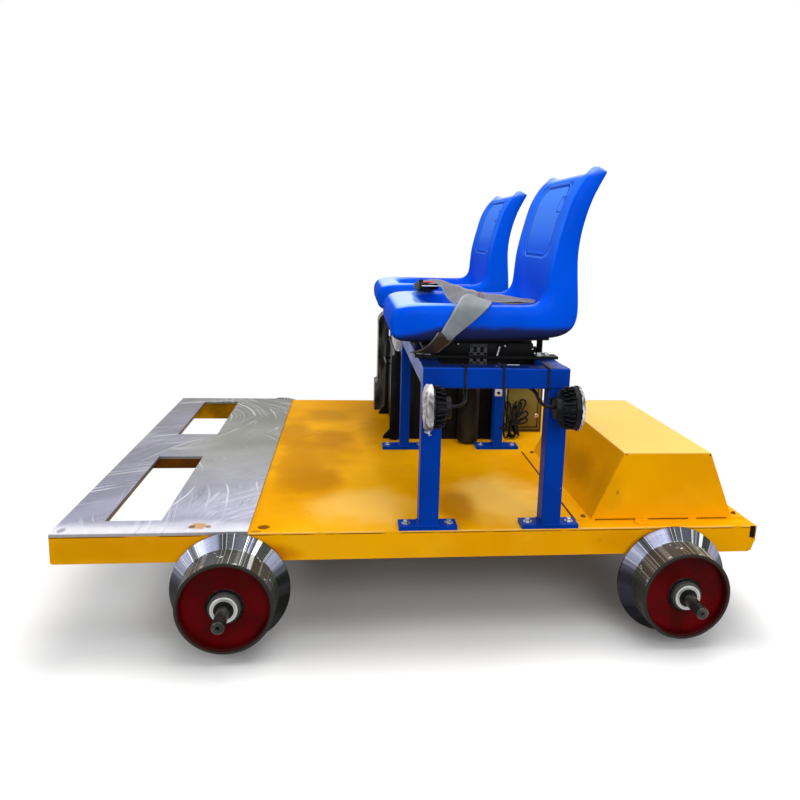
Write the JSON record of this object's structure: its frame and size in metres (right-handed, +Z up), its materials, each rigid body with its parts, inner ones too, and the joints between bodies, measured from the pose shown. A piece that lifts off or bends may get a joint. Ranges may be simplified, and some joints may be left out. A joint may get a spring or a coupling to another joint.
{
  "type": "motorised rail trolley",
  "caption": "Flat-deck motorised rail trolley with two moulded seats on a tube frame, a ground steel front plate with slots, work lamps and flanged wheelsets.",
  "frame": {"origin": "on the floor under the middle of the box that holds the whole trolley", "axes": "+X from the front plate to the motor cover, +Y along the axles from the lamp side to the other side, +Z up"},
  "size_m": [1.663, 1.704, 1.12],
  "materials": {
    "yellow_paint": "glossy yellow enamel with dents and small chips",
    "ground_steel": "bare plate with swirling grinder marks",
    "dark_casting": "dark painted casting",
    "axle_steel": "turned steel, slightly brown",
    "collar_metal": "pale machined collar",
    "wheel_steel": "turned tread and flange, dark red painted face",
    "blue_paint": "satin blue enamel",
    "blue_plastic": "glossy moulded plastic",
    "black_steel": "satin black",
    "black_plastic": "matt black plastic",
    "webbing": "grey woven webbing",
    "cable_rubber": "black cable sheath",
    "pale_plastic": "light grey case",
    "cream_paint": "cream powder coat"
  },
  "bodies": {
    "chassis": {"side_beams": "yellow_paint", "front_crossmember": "yellow_paint", "centre_rib": "yellow_paint", "crossmembers": "yellow_paint", "rear_channel": "yellow_paint", "deck_sheet": "yellow_paint", "front_plate": "ground_steel", "motor_cover": "yellow_paint", "drive_motor": "dark_casting", "bearing_blocks": "dark_casting", "chain_case": "yellow_paint", "seat_rails_long": "blue_paint", "seat_rails_cross": "blue_paint", "seat_legs": "blue_paint", "foot_plates": "blue_paint", "seat_near": "blue_plastic", "seat_far": "blue_plastic", "seat_brackets": "black_steel", "seat_belts": "webbing", "belt_buckles": "black_plastic", "headlamp_front": "black_plastic", "headlamp_rear": "black_plastic", "lamp_brackets": "black_steel", "lamp_cable": "cable_rubber", "supply_cable": "cable_rubber", "cable_ties": "black_plastic", "power_pack": "black_steel", "power_pack_lid": "black_steel", "pack_gussets": "black_steel", "charger": "pale_plastic", "control_box": "cream_paint", "upright_case": "black_steel", "cable_hank": "cable_rubber", "wrapped_bundle": "cable_rubber"},
    "front_wheelset": {"front_axle": "axle_steel", "front_wheel_near": "wheel_steel", "front_wheel_far": "wheel_steel", "front_hub_collars": "collar_metal"},
    "rear_wheelset": {"rear_axle": "axle_steel", "rear_wheel_near": "wheel_steel", "rear_wheel_far": "wheel_steel", "rear_hub_collars": "collar_metal"}
  },
  "joints": [
    {"name": "front_wheels_turn", "type": "hinge", "parent": "chassis", "child": "front_wheelset", "pos_m": [-0.4395, 0, 0.135], "axis": [0, 1, 0], "continuous": true},
    {"name": "rear_wheels_turn", "type": "hinge", "parent": "chassis", "child": "rear_wheelset", "pos_m": [0.6125, 0, 0.135], "axis": [0, 1, 0], "continuous": true}
  ]
}
